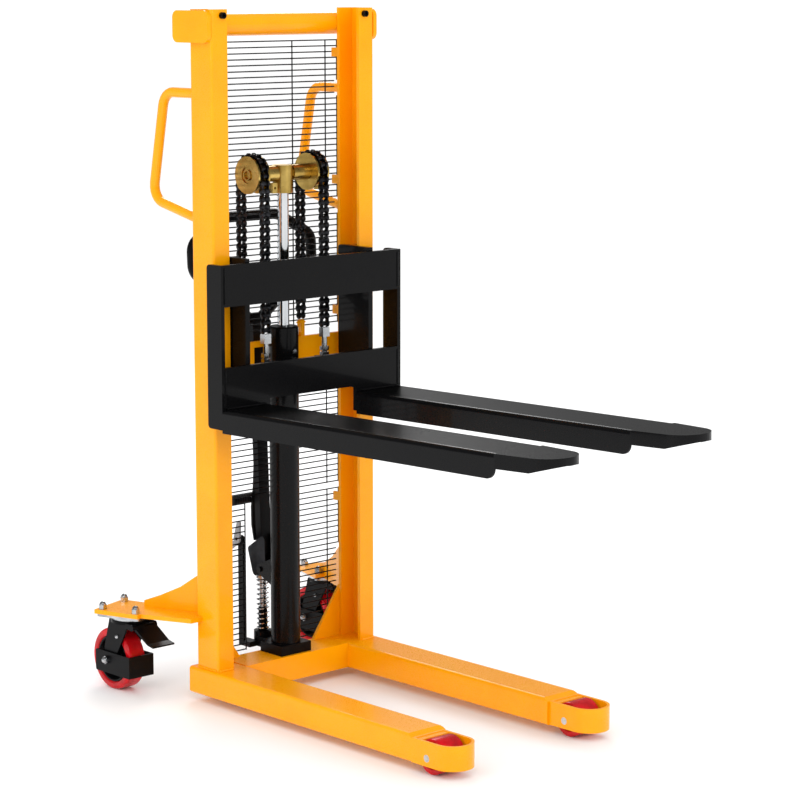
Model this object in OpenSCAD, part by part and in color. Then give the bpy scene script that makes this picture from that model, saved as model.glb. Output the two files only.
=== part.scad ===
// Hand pallet stacker: welded channel mast, chain-doubled hydraulic lift, straddling forks.
// +X points to the fork tips, +Z up, Y = 0 is the centre plane, the floor is Z = 0.
// Left is +Y and right is -Y, as seen by someone who stands behind and looks to the forks.

/* [Mast] */
// Height of the mast above the floor
mast_h = 1735; // [1500:5:2400]
// Width over the outer faces of both mast channels
mast_w = 528; // [500:2:560]
// Depth of a mast channel, front to back
channel_depth = 85; // [80:1:100]
// Width of a channel's flanges, across the machine
flange_w = 50; // [46:1:60]
// Thickness of the flanges
flange_t = 10; // [8:0.5:12]
// Thickness of the web
web_t = 7; // [6:0.5:10]
// Radius of the channel's outer corners
channel_corner_r = 7; // [5:0.5:9]
// Diameter of the tube that ties the mast heads
head_tube_d = 56; // [40:1:70]
// Thickness of the plates on the mast heads
ear_t = 11; // [8:1:14]

/* [Base frame] */
// Height of the legs' top face
leg_top = 89; // [80:1:92]
// Clearance under the legs
leg_clear = 21; // [15:1:30]
// Distance of a leg's outer face from the centre plane
leg_outer_y = 277.6; // [270:0.2:282]
// Width of a leg's box tube
leg_w = 107.6; // [100:0.2:112]
// Wall of the legs' tube
leg_wall = 6; // [4:0.5:8]
// How far the leg tube reaches in front of the mast
leg_front_x = 728; // [600:1:900]
// How far the base frame reaches behind the mast front
base_rear = 99; // [95:1:120]
// Diameter of a load roller
load_roller_d = 85; // [70:1:88]
// Width of a load roller's tread
load_roller_w = 70; // [50:1:74]
// Distance from the leg tube's end to the load roller's axle
load_axle_run = 50; // [47:1:60]
// Wall of the bent strap round a load roller
tip_wall = 7; // [5:0.5:9]

/* [Carriage and forks] */
// Length of a fork in front of the carriage plates
fork_len = 1099; // [800:1:1200]
// Width of one fork
fork_w = 153; // [140:1:165]
// Distance between the forks' outer edges
fork_spread = 591.2; // [586:0.2:640]
// Depth of a fork's channel
fork_depth = 58; // [45:1:62]
// Plate thickness of the forks
fork_plate = 6; // [5:0.5:8]
// Upward tilt of the forks, in degrees
fork_tilt = 1.2; // [0:0.1:2]
// Height of the fork's top at its root, as the machine stands here
fork_z = 767.4; // [700:0.2:800]
// Lowest height of the fork's top at its root
fork_low = 99.4; // [97:0.1:110]
// Highest lift of the fork's top at its root
fork_high = 1300; // [900:5:1300]
// Gap between the mast front and the back of the carriage plates
carriage_gap = 55; // [45:1:70]
// Thickness of the two cross plates
cross_plate_t = 12; // [10:1:16]
// Thickness of the carriage side plates
side_plate_t = 10.6; // [8:0.2:12]
// Thickness of the roller posts
post_t = 14; // [12:1:16]
// Height of the carriage from its lower rollers to its upper ones
roller_span = 299; // [250:1:330]
// Running gap of the guide rollers between the flanges, on each side
guide_gap = 0.5; // [0.3:0.1:1]
// Diameter of the guide rollers' pins
guide_pin_d = 25; // [20:1:30]

/* [Lift] */
// Outer diameter of the lift cylinder
cylinder_d = 76; // [65:1:80]
// Diameter of the piston rod
rod_d = 30; // [25:1:36]
// Height of the cylinder's top
gland_z = 938; // [930:1:940]
// Pitch of the lift chain
chain_pitch = 19.05; // [15.875:3.175:19.05]
// Height of the chain's side plates
chain_plate_h = 18; // [12:0.5:18]
// Distance of each chain from the centre plane
chain_y = 97; // [90:1:105]
// Chain pitches that would fit round a whole chain wheel
wheel_pitches = 15; // [14:1:15]

/* [Casters] */
// Diameter of a rear wheel
caster_wheel_d = 160; // [140:2:166]
// Width of a rear wheel
caster_wheel_w = 50; // [40:1:52]
// Distance of the swivel axis behind the mast front
swivel_back = 270; // [260:1:300]
// Distance of the swivel axis outside the mast
swivel_out = 71; // [61:1:86]
// Distance of the wheel's axle behind the swivel axis
caster_trail = 48; // [40:1:55]
// Height of the outrigger plate's top face
outrigger_z = 220; // [214:1:230]
// Thickness of the outrigger plate
outrigger_t = 11; // [8:1:14]
// Spacing of the caster bolts along the plate's outer edge
bolt_long = 101; // [95:1:105]
// Spacing of the caster bolts across the plate
bolt_wide = 95; // [88:1:98]
// Turn of the caster plate towards the mast, in degrees
plate_turn = 18.4; // [15:0.1:22]

/* [Pump and handle] */
// Distance of the pump plunger behind the mast front
plunger_back = 142; // [138:1:150]
// Outer diameter of the plunger spring
spring_d = 34.6; // [32:0.2:38]
// Wire diameter of the plunger spring
spring_wire = 5; // [4:0.1:5.5]
// Active turns of the plunger spring
spring_turns = 9.5; // [7:0.5:10]
// Diameter of the plunger
plunger_d = 18; // [14:1:19]
// Lean of the pump handle, in degrees
handle_lean = 2.6; // [0:0.1:4]
// Height of the handle's top bar
handle_z = 1211; // [1100:1:1300]
// Width of the handle's loop, centre to centre
loop_w = 392; // [340:2:400]
// Diameter of the loop's bar
loop_bar_d = 28; // [22:1:30]

/* [Guards] */
// Diameter of the guard's wires
wire_d = 3; // [2.5:0.5:4]
// Spacing of the guard's level wires
mesh_pitch = 15; // [14:0.5:40]
// How far the wire guards and the mid cross member lap over each channel's flange
flange_lap = 22; // [16:1:24]
// Diameter of the grab handles' tube
grab_d = 25; // [20:1:25]

/* [Hidden] */
$fn = 48;

// Running clearance of a pin in its hole, on the radius
fit = 0.05;
// Gap between pieces that pass or meet across a joint
gap = 0.3;

paint = "#F5A81C";
black = "#26262A";
zinc = "#C3B24A";
steel = "#C4C6C8";
red = "#C8141E";
grey = "#8A8D90";

// Mast
mast_y = mast_w / 2;
flange_y = mast_y - flange_w;
lap_y = flange_y + flange_lap;
head_tube_x = -channel_depth - head_tube_d / 2;
head_tube_z = mast_h - 40;
ear_low_z = mast_h - 81;
ear_rear_x = head_tube_x - 25;

// Base frame
leg_h = leg_top - leg_clear;
leg_inner_y = leg_outer_y - leg_w;
tip_w = 101;
tip_y = leg_outer_y - tip_w / 2;
tip_low_z = leg_clear + 2;
tip_high_z = leg_top - 7;
load_axle_x = leg_front_x + load_axle_run;
load_axle_d = 18;
tip_nose_x = load_axle_x + load_roller_d / 2 + tip_wall + 35;

// Carriage
plate_back_x = carriage_gap;
plate_front_x = carriage_gap + cross_plate_t;
carriage_y = fork_spread / 2;
side_in_y = carriage_y - side_plate_t;
fork_in_y = carriage_y - fork_w;
roller_d = channel_depth - 2 * flange_t - 2 * guide_gap;
roller_x = -channel_depth / 2;
post_y = flange_y - 4;
lower_roller_z = fork_z + 32.6;
upper_roller_z = lower_roller_z + roller_span;
post_low_z = fork_z - 3.4;
upper_plate_low_z = upper_roller_z - 80;
upper_plate_high_z = upper_roller_z + 22.6;
lower_plate_high_z = fork_z + 102.6;

// Lift
cylinder_x = -50;
block_top_z = leg_top + 26;
ram_down = (fork_low - fork_z) / 2;
sleeve_z = gland_z + 4 - ram_down;
wheel_r = chain_pitch / (2 * sin(180 / wheel_pitches));
chain_roller_r = chain_pitch * 0.3125;
wheel_z = sleeve_z + 49;
rear_chain_x = cylinder_x - wheel_r;
front_chain_x = cylinder_x + wheel_r;
anchor_z = 934;
front_end_z = fork_z + 162.6;
shaft_d = 28;
chain_w = 26;
wheel_w = 37;
rod_grip = 34;
lug_high_z = lower_plate_high_z - 13;
lug_t = 20;

// Casters
caster_top_z = outrigger_z - outrigger_t;
swivel_x = -swivel_back;
swivel_y = mast_y + swivel_out;
wheel_x = swivel_x - caster_trail;
wheel_axle_z = caster_wheel_d / 2;
crown_z = caster_top_z - 16;
cheek_in = caster_wheel_w / 2 + 3;
cheek_t = 5;
caster_axle_d = 18;
guard_gap = 2;
pedal_ear_in = 34.5;
pedal_hinge_x = swivel_x + 56;
pedal_hinge_z = crown_z - 12;

// Pump and handle
plunger_x = -plunger_back;
spring_low_z = block_top_z + 13;
spring_high_z = spring_low_z + 140;
cap_top_z = spring_high_z + 12;
press_roller_d = 18;
press_z = cap_top_z + press_roller_d / 2 + gap;
pivot_x = plunger_x + 26;
pivot_z = press_z + 9;
shaft_low_z = pivot_z + 9;
handle_x = plunger_x + 9;
yoke_in = 18;
yoke_top = 34;
handle_shaft_t = 20;
yoke_t = 6;
tread_x = plunger_x - 53;
tread_z = pivot_z + 173;
release_x = plunger_x - 30;
release_z = pivot_z + 76;
release_y = -46;

// Guards
mesh_x = -110;
mesh_low_z = leg_top + 6;
mesh_mid_z = 497;
mesh_split_z = 800;
mesh_high_z = 1654;
mesh_edge_y = lap_y - wire_d / 2;
full_uprights = [-mesh_edge_y, -195, -84, 84, 195, mesh_edge_y];
grab_high_z = mast_h - 205;
grab_low_z = mast_h - 513;
notch_y = mast_y - 38;
edge_notches = [
    [outrigger_z - outrigger_t - 10, outrigger_z + 112], [grab_low_z - 16, grab_low_z + 28],
    [grab_high_z - 20, grab_high_z + 20]
];

// The origin is midway between the fork noses and the rear of the caster wheels
nose_x = plate_front_x + fork_len * cos(fork_tilt);
wheel_rear_x = wheel_x - wheel_axle_z;
x_ref = (nose_x + wheel_rear_x) / 2;

module at_frame() {
    translate([-x_ref, 0, 0]) children();
}

// Draws the children as they are for side 1, and mirrored across the centre plane for side -1
module on_side(side) {
    if (side > 0) children();
    else mirror([0, 1, 0]) children();
}

module both_sides() {
    for (side = [1, -1]) on_side(side) children();
}

// Profiles are drawn in X and Z and extruded from y0 to y1
module along_y(y0, y1) {
    translate([0, y1, 0]) rotate([90, 0, 0]) linear_extrude(y1 - y0) children();
}

// Profiles are drawn in Y and Z and extruded from x0 to x1
module along_x(x0, x1) {
    translate([x0, 0, 0]) rotate([90, 0, 90]) linear_extrude(x1 - x0) children();
}

module box(x0, x1, y0, y1, z0, z1) {
    translate([x0, y0, z0]) cube([x1 - x0, y1 - y0, z1 - z0]);
}

module rounded_rect(x0, x1, y0, y1, r) {
    translate([x0 + r, y0]) square([x1 - x0 - 2 * r, y1 - y0]);
    translate([x0, y0 + r]) square([x1 - x0, y1 - y0 - 2 * r]);
    for (x = [x0 + r, x1 - r], y = [y0 + r, y1 - r]) translate([x, y]) circle(r);
}

module pin_y(x, z, y0, y1, d) {
    translate([x, y1, z]) rotate([90, 0, 0]) cylinder(h = y1 - y0, d = d);
}

module pin_x(y, z, x0, x1, d) {
    translate([x0, y, z]) rotate([0, 90, 0]) cylinder(h = x1 - x0, d = d);
}

// Directions of a flat path's stretches, in degrees, and the turns between them
function heading(points, i) =
    atan2(points[i + 1][1] - points[i][1], points[i + 1][0] - points[i][0]);
function turn_at(points, i) =
    let(t = heading(points, i) - heading(points, i - 1)) t > 180 ? t - 360 : t < -180 ? t + 360 : t;

// Stations along the path, each a place and a heading, with steps through each bend
function stations(points, bends, steps) = [
    [points[0], heading(points, 0)],
    for (i = [1 : len(points) - 2])
        let(
            h = heading(points, i - 1),
            t = turn_at(points, i),
            r = bends[i - 1],
            start = points[i] - r * tan(abs(t) / 2) * [cos(h), sin(h)],
            centre = start + sign(t) * r * [-sin(h), cos(h)]
        )
        for (k = [0 : steps])
            let(a = h + t * k / steps) [centre + sign(t) * r * [sin(a), -cos(a)], a],
    [points[len(points) - 1], heading(points, len(points) - 2)]
];

// Triangles of a tube whose rings all have the same number of sides
function tube_faces(rings, sides) = let(last_ring = (rings - 1) * sides) concat(
    [for (i = [0 : rings - 2], k = [0 : sides - 1])
        let(a = i * sides + k, b = i * sides + (k + 1) % sides)
        each [[a, b, b + sides], [a, b + sides, a + sides]]],
    [for (k = [1 : sides - 2]) [0, k + 1, k]],
    [for (k = [1 : sides - 2]) [last_ring, last_ring + k, last_ring + k + 1]]
);

// A round bar along a flat path, with a bend of its own radius at each inner point
module bent_bar(points, bends, d) {
    sides = 16;
    line = stations(points, bends, 6);
    rings = [for (s = line) for (k = [0 : sides - 1]) let(b = k * 360 / sides + 180 / sides)
        [s[0][0] - d / 2 * cos(b) * sin(s[1]), s[0][1] + d / 2 * cos(b) * cos(s[1]), -d / 2 * sin(b)]];
    polyhedron(rings, tube_faces(len(line), sides));
}

// Mast

module channel_profile() {
    r = channel_corner_r;
    difference() {
        union() {
            translate([-channel_depth, flange_y]) square([channel_depth, flange_w - r]);
            translate([-channel_depth + r, flange_y]) square([channel_depth - 2 * r, flange_w]);
            for (x = [-channel_depth + r, -r]) translate([x, mast_y - r]) circle(r);
        }
        translate([-channel_depth + flange_t, flange_y - 1])
            square([channel_depth - 2 * flange_t, flange_w - web_t + 1]);
    }
}

module mast(side) {
    color(paint) at_frame() on_side(side) translate([0, 0, leg_top])
        linear_extrude(mast_h - leg_top) channel_profile();
}

module top_cross_tube() {
    tube_wall = 4;
    ear_r = 18;
    color(paint) at_frame() {
        difference() {
            pin_y(head_tube_x, head_tube_z, -mast_y, mast_y, head_tube_d);
            pin_y(head_tube_x, head_tube_z, -mast_y + 2, mast_y - 2, head_tube_d - 2 * tube_wall);
        }
        both_sides() along_y(mast_y, mast_y + ear_t)
            rounded_rect(ear_rear_x, 0, ear_low_z, mast_h - 3, ear_r);
    }
}

// Socket-head bolts that stop the carriage's upper rollers at the mast head
module stop_bolts() {
    head_d = 16;
    color(black) at_frame() both_sides() for (z = [mast_h - 7 - head_d / 2]) {
        difference() {
            pin_x(mast_y - 33, z, 0, 10, head_d);
            translate([4, mast_y - 33, z]) rotate([0, 90, 0]) cylinder(h = 7, d = 9, $fn = 6);
        }
    }
}

module mid_cross_member() {
    low_z = 808;
    high_z = 899;
    finger_w = 11.5;
    rear_x = -channel_depth - 10;
    color(paint) at_frame() {
        difference() {
            along_x(rear_x, -channel_depth) difference() {
                translate([-lap_y, low_z]) square([2 * lap_y, high_z - low_z]);
                translate([-68, low_z - 1]) square([136, high_z - low_z - 14]);
            }
            translate([cylinder_x, 0, low_z - 1])
                cylinder(h = high_z - low_z + 2, d = cylinder_d + 2 * gap);
        }
        both_sides() {
            box(rear_chain_x - 8, rear_x, chain_y - 11, chain_y + 11, low_z + 20, high_z + 8);
            along_y(chain_y - finger_w / 2, chain_y + finger_w / 2) {
                translate([rear_chain_x, anchor_z]) circle(8);
                translate([rear_chain_x - 8, high_z]) square([16, anchor_z - high_z]);
            }
            pin_y(rear_chain_x, anchor_z, chain_y - 13, chain_y + 13, 6);
        }
    }
}

module mast_gussets() {
    color(paint) at_frame() both_sides() along_x(-channel_depth - 8, -channel_depth)
        polygon([[flange_y + 4, 224], [flange_y + 4, leg_top], [124, leg_top]]);
}

// Base frame

module leg(side) {
    plug = 30;
    slope_run = 14;
    slope_drop = 9;
    color(paint) at_frame() on_side(side) difference() {
        along_x(-base_rear, leg_front_x) rounded_rect(leg_inner_y, leg_outer_y, leg_clear, leg_top, 8);
        box(-base_rear + leg_wall, leg_front_x - plug, leg_inner_y + leg_wall, leg_outer_y - leg_wall,
            leg_clear + leg_wall, leg_top - leg_wall);
        along_y(leg_inner_y - 1, leg_outer_y + 1) polygon([
            [leg_front_x - slope_run, leg_top], [leg_front_x + 1, leg_top - slope_drop],
            [leg_front_x + 1, leg_top + 1], [leg_front_x - slope_run, leg_top + 1]
        ]);
    }
}

module strap_outline(inset) {
    r = tip_w / 2 - inset;
    nose = tip_nose_x - tip_w / 2;
    translate([nose, tip_y]) circle(r);
    translate([leg_front_x + inset, tip_y - r]) square([nose - leg_front_x - inset, 2 * r]);
}

module leg_tip(side) {
    deck_t = 3;
    deck_run = 24;
    color(paint) at_frame() on_side(side) {
        difference() {
            translate([0, 0, tip_low_z]) linear_extrude(tip_high_z - tip_low_z) difference() {
                strap_outline(0);
                strap_outline(tip_wall);
            }
            pin_y(load_axle_x, load_roller_d / 2, tip_y - tip_w, tip_y + tip_w, load_axle_d);
        }
        box(leg_front_x + tip_wall, leg_front_x + deck_run, tip_y - tip_w / 2 + tip_wall,
            tip_y + tip_w / 2 - tip_wall, tip_high_z - deck_t - 2, tip_high_z - 2);
    }
}

module roller_axles() {
    color(steel) at_frame() both_sides()
        pin_y(load_axle_x, load_roller_d / 2, tip_y - tip_w / 2, tip_y + tip_w / 2, load_axle_d);
}

module load_roller(side) {
    hub_d = 44;
    hub_w = 2 * (tip_w / 2 - tip_wall - gap);
    bore_d = load_axle_d + 2 * fit;
    tread = load_roller_w / 2;
    color(red) at_frame() on_side(side) difference() {
        union() {
            pin_y(load_axle_x, load_roller_d / 2, tip_y - tread, tip_y + tread, load_roller_d);
            pin_y(load_axle_x, load_roller_d / 2, tip_y - hub_w / 2, tip_y + hub_w / 2, hub_d - 12);
        }
        pin_y(load_axle_x, load_roller_d / 2, tip_y - tip_w, tip_y + tip_w, bore_d);
        for (end = [-1, 1]) translate([load_axle_x, tip_y + end * (tread + 1) + 5, load_roller_d / 2])
            rotate([90, 0, 0]) difference() {
                cylinder(h = 10, d = hub_d + 12);
                translate([0, 0, -1]) cylinder(h = 12, d = hub_d - 12);
            }
    }
}

module base_cross_member() {
    wall = 6;
    color(paint) at_frame() difference() {
        box(-base_rear, 1, -leg_inner_y, leg_inner_y, leg_clear + 3, leg_top);
        box(-base_rear + wall, 1 - wall, -leg_inner_y - 1, leg_inner_y + 1, leg_clear + 3 + wall,
            leg_top - wall);
    }
}

// Outriggers and casters

// Turns the children to the outrigger's rotated plate, centred on the swivel axis
module on_plate() {
    translate([swivel_x, swivel_y]) rotate([0, 0, -plate_turn]) children();
}

module outrigger(side) {
    margin_long = 16;
    margin_wide = 15;
    half_long = bolt_long / 2 + margin_long;
    half_wide = bolt_wide / 2 + margin_wide;
    gusset_t = 8;
    gusset_rise = 104;
    gusset_run = 182;
    color(paint) at_frame() on_side(side) {
        translate([0, 0, caster_top_z]) linear_extrude(outrigger_t) difference() {
            union() {
                on_plate() translate([-half_long, -half_wide]) square([2 * half_long, 2 * half_wide]);
                polygon([
                    [swivel_x - 20, swivel_y - 30], [swivel_x + 20, swivel_y + 51],
                    [-62, mast_y + 36], [-62, mast_y], [-channel_depth, mast_y],
                    [-channel_depth, mast_y - 40]
                ]);
            }
            on_plate() for (x = [-1, 1], y = [-1, 1])
                translate([x * bolt_long / 2, y * bolt_wide / 2]) circle(d = 12);
        }
        translate([-channel_depth, mast_y - 32, outrigger_z]) rotate([0, 0, -22.5])
            rotate([90, 0, 0]) linear_extrude(gusset_t) polygon([
                [-gusset_run, 0], [0, 0], [0, gusset_rise], [-14, gusset_rise],
                [-75, 62], [-135, 34], [-gusset_run, 16]
            ]);
    }
}

module zinc_fasteners() {
    nut_h = 10;
    color(steel) at_frame() {
        both_sides() on_plate() for (x = [-1, 1], y = [-1, 1])
            translate([x * bolt_long / 2, y * bolt_wide / 2, outrigger_z]) {
                cylinder(h = nut_h, d = 19, $fn = 6);
                translate([0, 0, nut_h]) cylinder(h = 4, d = 11.9);
            }
        for (z = [gland_z - 62, gland_z - 82])
            pin_x(0, z, cylinder_x + cylinder_d / 2, cylinder_x + cylinder_d / 2 + 6, 12);
    }
}

// Top plate of a caster with its four studs and the upper race of the swivel bearing
module caster_plate(side) {
    plate_t = 7;
    race_d = 92;
    color(steel) at_frame() on_side(side) difference() {
        union() {
            on_plate() translate([0, 0, caster_top_z - plate_t]) linear_extrude(plate_t)
                rounded_rect(-bolt_long / 2 - 14, bolt_long / 2 + 14, -bolt_wide / 2 - 12,
                    bolt_wide / 2 + 12, 10);
            on_plate() for (x = [-1, 1], y = [-1, 1])
                translate([x * bolt_long / 2, y * bolt_wide / 2, caster_top_z])
                    cylinder(h = outrigger_t, d = 11.9);
            translate([swivel_x, swivel_y, crown_z + gap]) cylinder(h = 9, d = race_d);
        }
        translate([swivel_x, swivel_y, crown_z - 1]) cylinder(h = 40, d = 20 + 2 * fit);
    }
}

module caster_fork(side) {
    crown_t = 8;
    crown_d = 98;
    out = cheek_in + cheek_t;
    boss_r = 19;
    guard_low = 45;
    guard_high = 101;
    guard_t = 4;
    guard_front = swivel_x + 45;
    nut_h = 7;
    guard_rear = wheel_x - 50;
    guard_y = out + guard_gap;
    color(black) at_frame() on_side(side) translate([0, swivel_y, 0]) {
        difference() {
            union() {
                translate([swivel_x, 0, crown_z - crown_t]) cylinder(h = crown_t, d = crown_d);
                for (s = [-1, 1]) along_y(min(s * cheek_in, s * out), max(s * cheek_in, s * out)) {
                    polygon([
                        [swivel_x - 44, crown_z - 3], [swivel_x + 34, crown_z - 3],
                        [swivel_x + 20, crown_z - 34], [wheel_x + 17, wheel_axle_z - 8],
                        [wheel_x - 17, wheel_axle_z - 8], [wheel_x - 19, wheel_axle_z + 30]
                    ]);
                    translate([wheel_x, wheel_axle_z]) circle(boss_r);
                }
            }
            pin_y(wheel_x, wheel_axle_z, -60, 60, caster_axle_d);
        }
        translate([swivel_x, 0, crown_z - 1]) 
            cylinder(h = caster_top_z - gap - crown_z + 1, d = 20);
        pin_y(wheel_x, wheel_axle_z, -out - 7, out + 7, caster_axle_d);
        for (s = [-1, 1]) {
            along_y(min(s * out, s * (guard_y + guard_t)), max(s * out, s * (guard_y + guard_t)))
                translate([wheel_x, wheel_axle_z]) circle(14);
            translate([wheel_x, s * (guard_y + guard_t), wheel_axle_z]) rotate([-90 * s, 0, 0]) {
                cylinder(h = nut_h, d = 19, $fn = 6);
                translate([0, 0, nut_h]) cylinder(h = 3, d1 = 14, d2 = 8);
            }
        }
        for (s = [-1, 1]) along_y(min(s * guard_y, s * (guard_y + guard_t)),
            max(s * guard_y, s * (guard_y + guard_t)))
                rounded_rect(guard_rear, guard_front, guard_low, guard_high, 6);
        box(guard_front - guard_t, guard_front, -guard_y - guard_t, guard_y + guard_t, guard_low,
            guard_high);
        for (s = [-1, 1]) along_y(min(s * pedal_ear_in, s * (pedal_ear_in + 4)),
            max(s * pedal_ear_in, s * (pedal_ear_in + 4))) {
                translate([pedal_hinge_x, pedal_hinge_z]) circle(8);
                polygon([
                    [swivel_x + 14, crown_z - 3], [pedal_hinge_x, crown_z - 4],
                    [pedal_hinge_x, pedal_hinge_z - 7], [swivel_x + 14, crown_z - 16]
                ]);
            }
        pin_y(pedal_hinge_x, pedal_hinge_z, -pedal_ear_in - 2, pedal_ear_in + 2, 6);
    }
}

module caster_wheel(side) {
    tread_r = 6;
    w = caster_wheel_w / 2;
    r = caster_wheel_d / 2;
    hub_r = 22;
    rim_r = r - 22;
    bore_r = caster_axle_d / 2 + fit;
    color(red) at_frame() on_side(side) translate([wheel_x, swivel_y, wheel_axle_z])
        rotate([90, 0, 0]) rotate_extrude() difference() {
            union() {
                translate([bore_r, -w - 2]) square([hub_r - bore_r, 2 * w + 4]);
                translate([bore_r, -9]) square([r - 20, 18]);
                translate([rim_r, -w]) square([22 - tread_r, 2 * w]);
                translate([rim_r, -w + tread_r]) square([22, 2 * w - 2 * tread_r]);
                for (y = [-w + tread_r, w - tread_r]) translate([r - tread_r, y]) circle(tread_r);
            }
            translate([0, -w - 5]) square([bore_r, 2 * w + 10]);
        }
}

module brake_pedal(side) {
    t = 4;
    half = pedal_ear_in - gap;
    hinge_x = pedal_hinge_x;
    hinge_z = pedal_hinge_z;
    color(black) at_frame() on_side(side) translate([0, swivel_y, 0]) {
        difference() {
            union() {
                along_y(-half, half) polygon([
                    [hinge_x + 4, hinge_z - t], [hinge_x + 8, hinge_z + t / 2],
                    [hinge_x + 62, hinge_z - 30], [hinge_x + 84, hinge_z - 34],
                    [hinge_x + 84, hinge_z - 34 - t], [hinge_x + 61, hinge_z - 30 - t]
                ]);
                pin_y(hinge_x, hinge_z, -half, half, 12);
            }
            pin_y(hinge_x, hinge_z, -40, 40, 6 + 2 * fit);
        }
    }
}

// Lift

module lift_cylinder() {
    wall = 7;
    tube_h = gland_z - 14 - block_top_z;
    ear_y = yoke_in + yoke_t + gap;
    ear_t = 6;
    color(black) at_frame() difference() {
        union() {
            translate([cylinder_x, 0, block_top_z]) cylinder(h = tube_h, d = cylinder_d);
            both_sides() along_y(ear_y, ear_y + ear_t) {
                translate([pivot_x, pivot_z]) circle(15);
                polygon([
                    [pivot_x, pivot_z - 15], [pivot_x, pivot_z + 15], [cylinder_x - 18, pivot_z + 36],
                    [cylinder_x - 18, pivot_z - 36]
                ]);
            }
        }
        translate([cylinder_x, 0, block_top_z + 10]) cylinder(h = gland_z, d = cylinder_d - 2 * wall);
    }
    color(black) at_frame() pin_y(pivot_x, pivot_z, -ear_y - ear_t - 5, ear_y + ear_t + 5, 14);
}

module cylinder_gland() {
    color(black) at_frame() translate([cylinder_x, 0, 0]) difference() {
        union() {
            translate([0, 0, gland_z - 14]) cylinder(h = 10, d = cylinder_d);
            translate([0, 0, gland_z - 4]) cylinder(h = 4, d1 = cylinder_d, d2 = cylinder_d - 8);
            translate([0, 0, gland_z - 44]) cylinder(h = 30, d = cylinder_d - 14);
        }
        translate([0, 0, gland_z - 45]) cylinder(h = 46, d = rod_d + 2 * fit);
    }
}

module piston_rod() {
    head_h = 16;
    foot_z = gland_z - 120 - (fork_high - fork_z) / 2;
    color(steel) at_frame() translate([cylinder_x, 0, foot_z]) {
        cylinder(h = sleeve_z + rod_grip - foot_z, d = rod_d);
        cylinder(h = head_h, d = cylinder_d - 14 - 2 * gap);
    }
}

// Sleeve that clamps on the rod and carries the cross shaft
module chain_head() {
    sleeve_d = 50;
    sleeve_h = 70;
    ear_w = 18;
    ear_h = 26;
    color(zinc) at_frame() difference() {
        union() {
            translate([cylinder_x, 0, sleeve_z]) cylinder(h = sleeve_h, d = sleeve_d);
            box(cylinder_x - ear_w / 2, cylinder_x + ear_w / 2, -sleeve_d / 2 - 15, 0, sleeve_z,
                sleeve_z + ear_h);
        }
        translate([cylinder_x, 0, sleeve_z - 1]) cylinder(h = rod_grip + 1, d = rod_d);
        box(cylinder_x - 1, cylinder_x + 1, -sleeve_d, -rod_d / 2, sleeve_z - 1,
            sleeve_z + ear_h - 3);
        pin_x(-sleeve_d / 2 - 7, sleeve_z + ear_h / 2, cylinder_x - 20, cylinder_x + 20, 7);
        pin_y(cylinder_x, wheel_z, -60, 60, shaft_d);
    }
}

module chain_shaft() {
    reach = chain_y + wheel_w / 2 + 1;
    color(zinc) at_frame() difference() {
        union() {
            pin_y(cylinder_x, wheel_z, -reach, reach, shaft_d);
            both_sides() pin_y(cylinder_x, wheel_z, 25, chain_y - wheel_w / 2 - gap, shaft_d + 12);
        }
        both_sides() pin_y(cylinder_x, wheel_z, reach - 5, reach + 1, shaft_d - 8);
    }
}

module chain_wheel(side) {
    flange_r = wheel_r + 1.2;
    groove_r = wheel_r - chain_plate_h / 2 - 0.5;
    rib_r = wheel_r - chain_roller_r - 0.4;
    flange = (wheel_w - chain_w) / 2 - 0.5;
    bore_r = shaft_d / 2 + fit;
    w = wheel_w / 2;
    color(zinc) at_frame() on_side(side) translate([cylinder_x, chain_y, wheel_z])
        rotate([90, 0, 0]) rotate_extrude() difference() {
            union() {
                translate([bore_r, -w]) square([groove_r - bore_r, 2 * w]);
                translate([bore_r, -5]) square([rib_r - bore_r, 10]);
                for (y = [-w, w - flange]) translate([bore_r, y]) square([flange_r - bore_r, flange]);
            }
            for (y = [-w - 1, w - 3]) translate([0, y]) square([20.5, 4]);
        }
}

// Roller chain drawn flat: links between the given pins, in five layers across its width.
// The first link has its plates outside when outer_first is 1.
module chain_links(pins, outer_first) {
    r = chain_plate_h / 2;
    plate_t = 2.4;
    inner = 11.7 / 2;
    layers = [inner, inner + plate_t, inner + 2 * plate_t];
    module links(parity) {
        for (i = [0 : len(pins) - 2]) if ((i + outer_first) % 2 == parity) {
            a = pins[i];
            b = pins[i + 1];
            translate(a) circle(r, $fn = 24);
            translate(b) circle(r, $fn = 24);
            translate((a + b) / 2) rotate([0, 0, atan2(b[1] - a[1], b[0] - a[0])])
                square([norm(b - a), r * 1.3], center = true);
        }
    }
    for (s = [0, 1]) mirror([0, s, 0]) {
        along_y(layers[0], layers[1]) {
            links(0);
            for (p = pins) translate(p) circle(3, $fn = 24);
        }
        along_y(layers[1], layers[2]) {
            links(1);
            for (p = pins) translate(p) circle(3, $fn = 24);
        }
        along_y(layers[2], chain_w / 2) for (p = pins) translate(p) circle(3, $fn = 24);
    }
    along_y(-layers[0], layers[0]) for (p = pins) translate(p) circle(chain_roller_r, $fn = 24);
}

// Pins of a straight chain run at x, evenly spaced from z_top down to z_low
function straight_pins(x, z_top, z_low) =
    let(count = round((z_top - z_low) / chain_pitch))
    [for (i = [0 : count]) [x, z_top - i * (z_top - z_low) / count]];

module rear_chain_strands() {
    pins = straight_pins(rear_chain_x, wheel_z - 1.5 * chain_pitch,
        anchor_z + 8 + chain_plate_h / 2 + gap);
    color(black) at_frame() both_sides() translate([0, chain_y, 0]) chain_links(pins, 1);
}

module front_chain_strands() {
    pins = straight_pins(front_chain_x, wheel_z - chain_pitch,
        front_end_z + chain_plate_h / 2 + gap);
    color(black) at_frame() both_sides() translate([0, chain_y, 0]) chain_links(pins, 1);
}

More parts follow.
